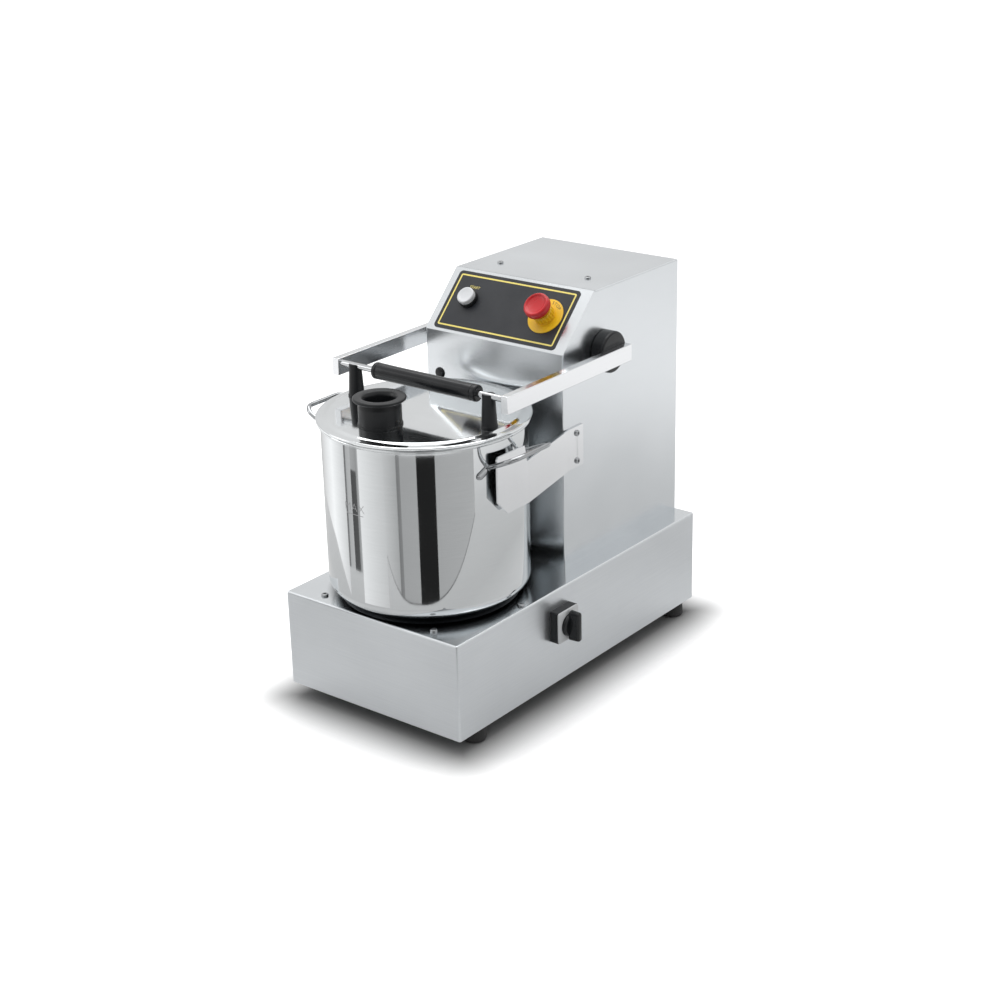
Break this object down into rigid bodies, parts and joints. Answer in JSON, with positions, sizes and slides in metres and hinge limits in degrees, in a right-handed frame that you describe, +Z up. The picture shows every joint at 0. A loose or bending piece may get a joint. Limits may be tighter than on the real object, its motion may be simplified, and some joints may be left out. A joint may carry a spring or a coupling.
{
  "type": "bowl cutter",
  "caption": "Tabletop stainless bowl cutter: deep bowl with a turning sickle knife, hinged lid with feed chute on two arms, sloped control panel on a motor base.",
  "frame": {"origin": "middle of the outline on the worktop, under the feet", "axes": "+Z up, operator on the -Y side, bowl at -Y and column at +Y, +X to the operator's right"},
  "size_m": [0.3884, 0.624, 0.5736],
  "materials": {
    "stainless_panel": "fine brushed",
    "stainless_polished": "mirror polished",
    "stainless_bright": "bright drawn",
    "blade_steel": "ground",
    "zinc_steel": "zinc plated",
    "cast_alloy": "cast",
    "motor_grey": "painted cast",
    "pulley_alloy": "machined",
    "belt_rubber": "ribbed",
    "black_rubber": "moulded",
    "silicone": "smooth",
    "black_plastic": "moulded",
    "grey_plastic": "moulded",
    "white_plastic": "moulded",
    "yellow_plastic": "moulded",
    "red_plastic": "moulded",
    "label_film": "printed film"
  },
  "bodies": {
    "base": {"base_housing": "stainless_panel", "base_bottom_cover": "stainless_panel", "rubber_feet": "black_rubber", "foot_bolts": "zinc_steel", "bearing_plate": "zinc_steel", "bearing_plate_screws": "stainless_bright", "bearing_housing": "cast_alloy", "spindle_bearings": "stainless_bright", "shaft_seal": "black_rubber", "hex_bolts": "zinc_steel", "motor_plate": "zinc_steel", "motor": "motor_grey", "drive_belt": "belt_rubber", "bowl": "stainless_polished", "bowl_centre_tube": "stainless_polished", "bowl_handle_right": "stainless_bright", "bowl_handle_left": "stainless_bright", "bowl_bracket": "stainless_panel", "column_shell": "stainless_panel", "column_rear_cover": "stainless_panel", "column_screws": "stainless_bright", "column_plug": "black_plastic", "pivot_bushes": "white_plastic", "lid_sensor": "black_plastic", "contactor": "grey_plastic", "control_label": "label_film", "start_button_bezel": "black_plastic", "estop_legend_disc": "yellow_plastic", "estop_collar": "yellow_plastic", "contact_blocks": "black_plastic", "cam_switch_body": "black_plastic", "cam_switch_plate": "grey_plastic", "cable_gland": "black_plastic"},
    "lid": {"lid": "stainless_polished", "lid_gasket": "silicone", "feed_chute": "black_plastic", "lid_post_left": "black_plastic", "lid_post_right": "black_plastic", "post_screws": "stainless_bright", "lid_handle_rod": "stainless_bright", "lid_grip": "black_plastic", "lid_arm_left": "stainless_panel", "lid_arm_right": "stainless_panel", "pivot_hub_left": "black_plastic", "pivot_hub_right": "black_plastic", "pivot_shaft": "stainless_bright", "magnet_disc": "black_plastic"},
    "spindle": {"spindle": "stainless_bright", "spindle_pulley": "pulley_alloy", "knife_hub": "stainless_bright", "knife_lower": "blade_steel", "knife_upper": "blade_steel", "knife_spacers": "stainless_bright", "knife_hand_nut": "black_plastic"},
    "motor_rotor": {"motor_shaft": "zinc_steel", "motor_pulley": "pulley_alloy"},
    "start_button": {"start_button": "white_plastic"},
    "estop_stem": {"estop_stem": "grey_plastic"},
    "estop_head": {"estop_mushroom": "red_plastic"},
    "cam_knob": {"cam_switch_knob": "black_plastic"}
  },
  "joints": [
    {"name": "lid_hinge", "type": "hinge", "parent": "base", "child": "lid", "pos_m": [0, 0.09, 0.479], "axis": [-1, 0, 0], "range_deg": [0, 95]},
    {"name": "knife_spin", "type": "hinge", "parent": "base", "child": "spindle", "pos_m": [0, -0.161, 0.177], "axis": [0, 0, -1], "continuous": true},
    {"name": "motor_spin", "type": "hinge", "parent": "base", "child": "motor_rotor", "pos_m": [0, 0.129, 0.053], "axis": [0, 0, -1], "continuous": true},
    {"name": "start_press", "type": "slide", "parent": "base", "child": "start_button", "axis": [0, 0.7071, -0.7071], "range_m": [0, 0.004], "stiffness_N_per_m": 300, "springref_m": -0.003},
    {"name": "estop_press", "type": "slide", "parent": "base", "child": "estop_stem", "axis": [0, 0.7071, -0.7071], "range_m": [0, 0.005], "stiffness_N_per_m": 400, "springref_m": -0.004},
    {"name": "estop_twist", "type": "hinge", "parent": "estop_stem", "child": "estop_head", "pos_m": [0.068, 0.01818, 0.54747], "axis": [0, 0.7071, -0.7071], "range_deg": [0, 45], "stiffness_Nm_per_rad": 0.05, "springref_deg": -20.05},
    {"name": "cam_switch_turn", "type": "hinge", "parent": "base", "child": "cam_knob", "pos_m": [0.171, -0.064, 0.117], "axis": [1, 0, 0], "range_deg": [-60, 60]}
  ],
  "couplings": [
    {"joint": "motor_spin", "follows": "knife_spin", "ratio": 1.25}
  ]
}
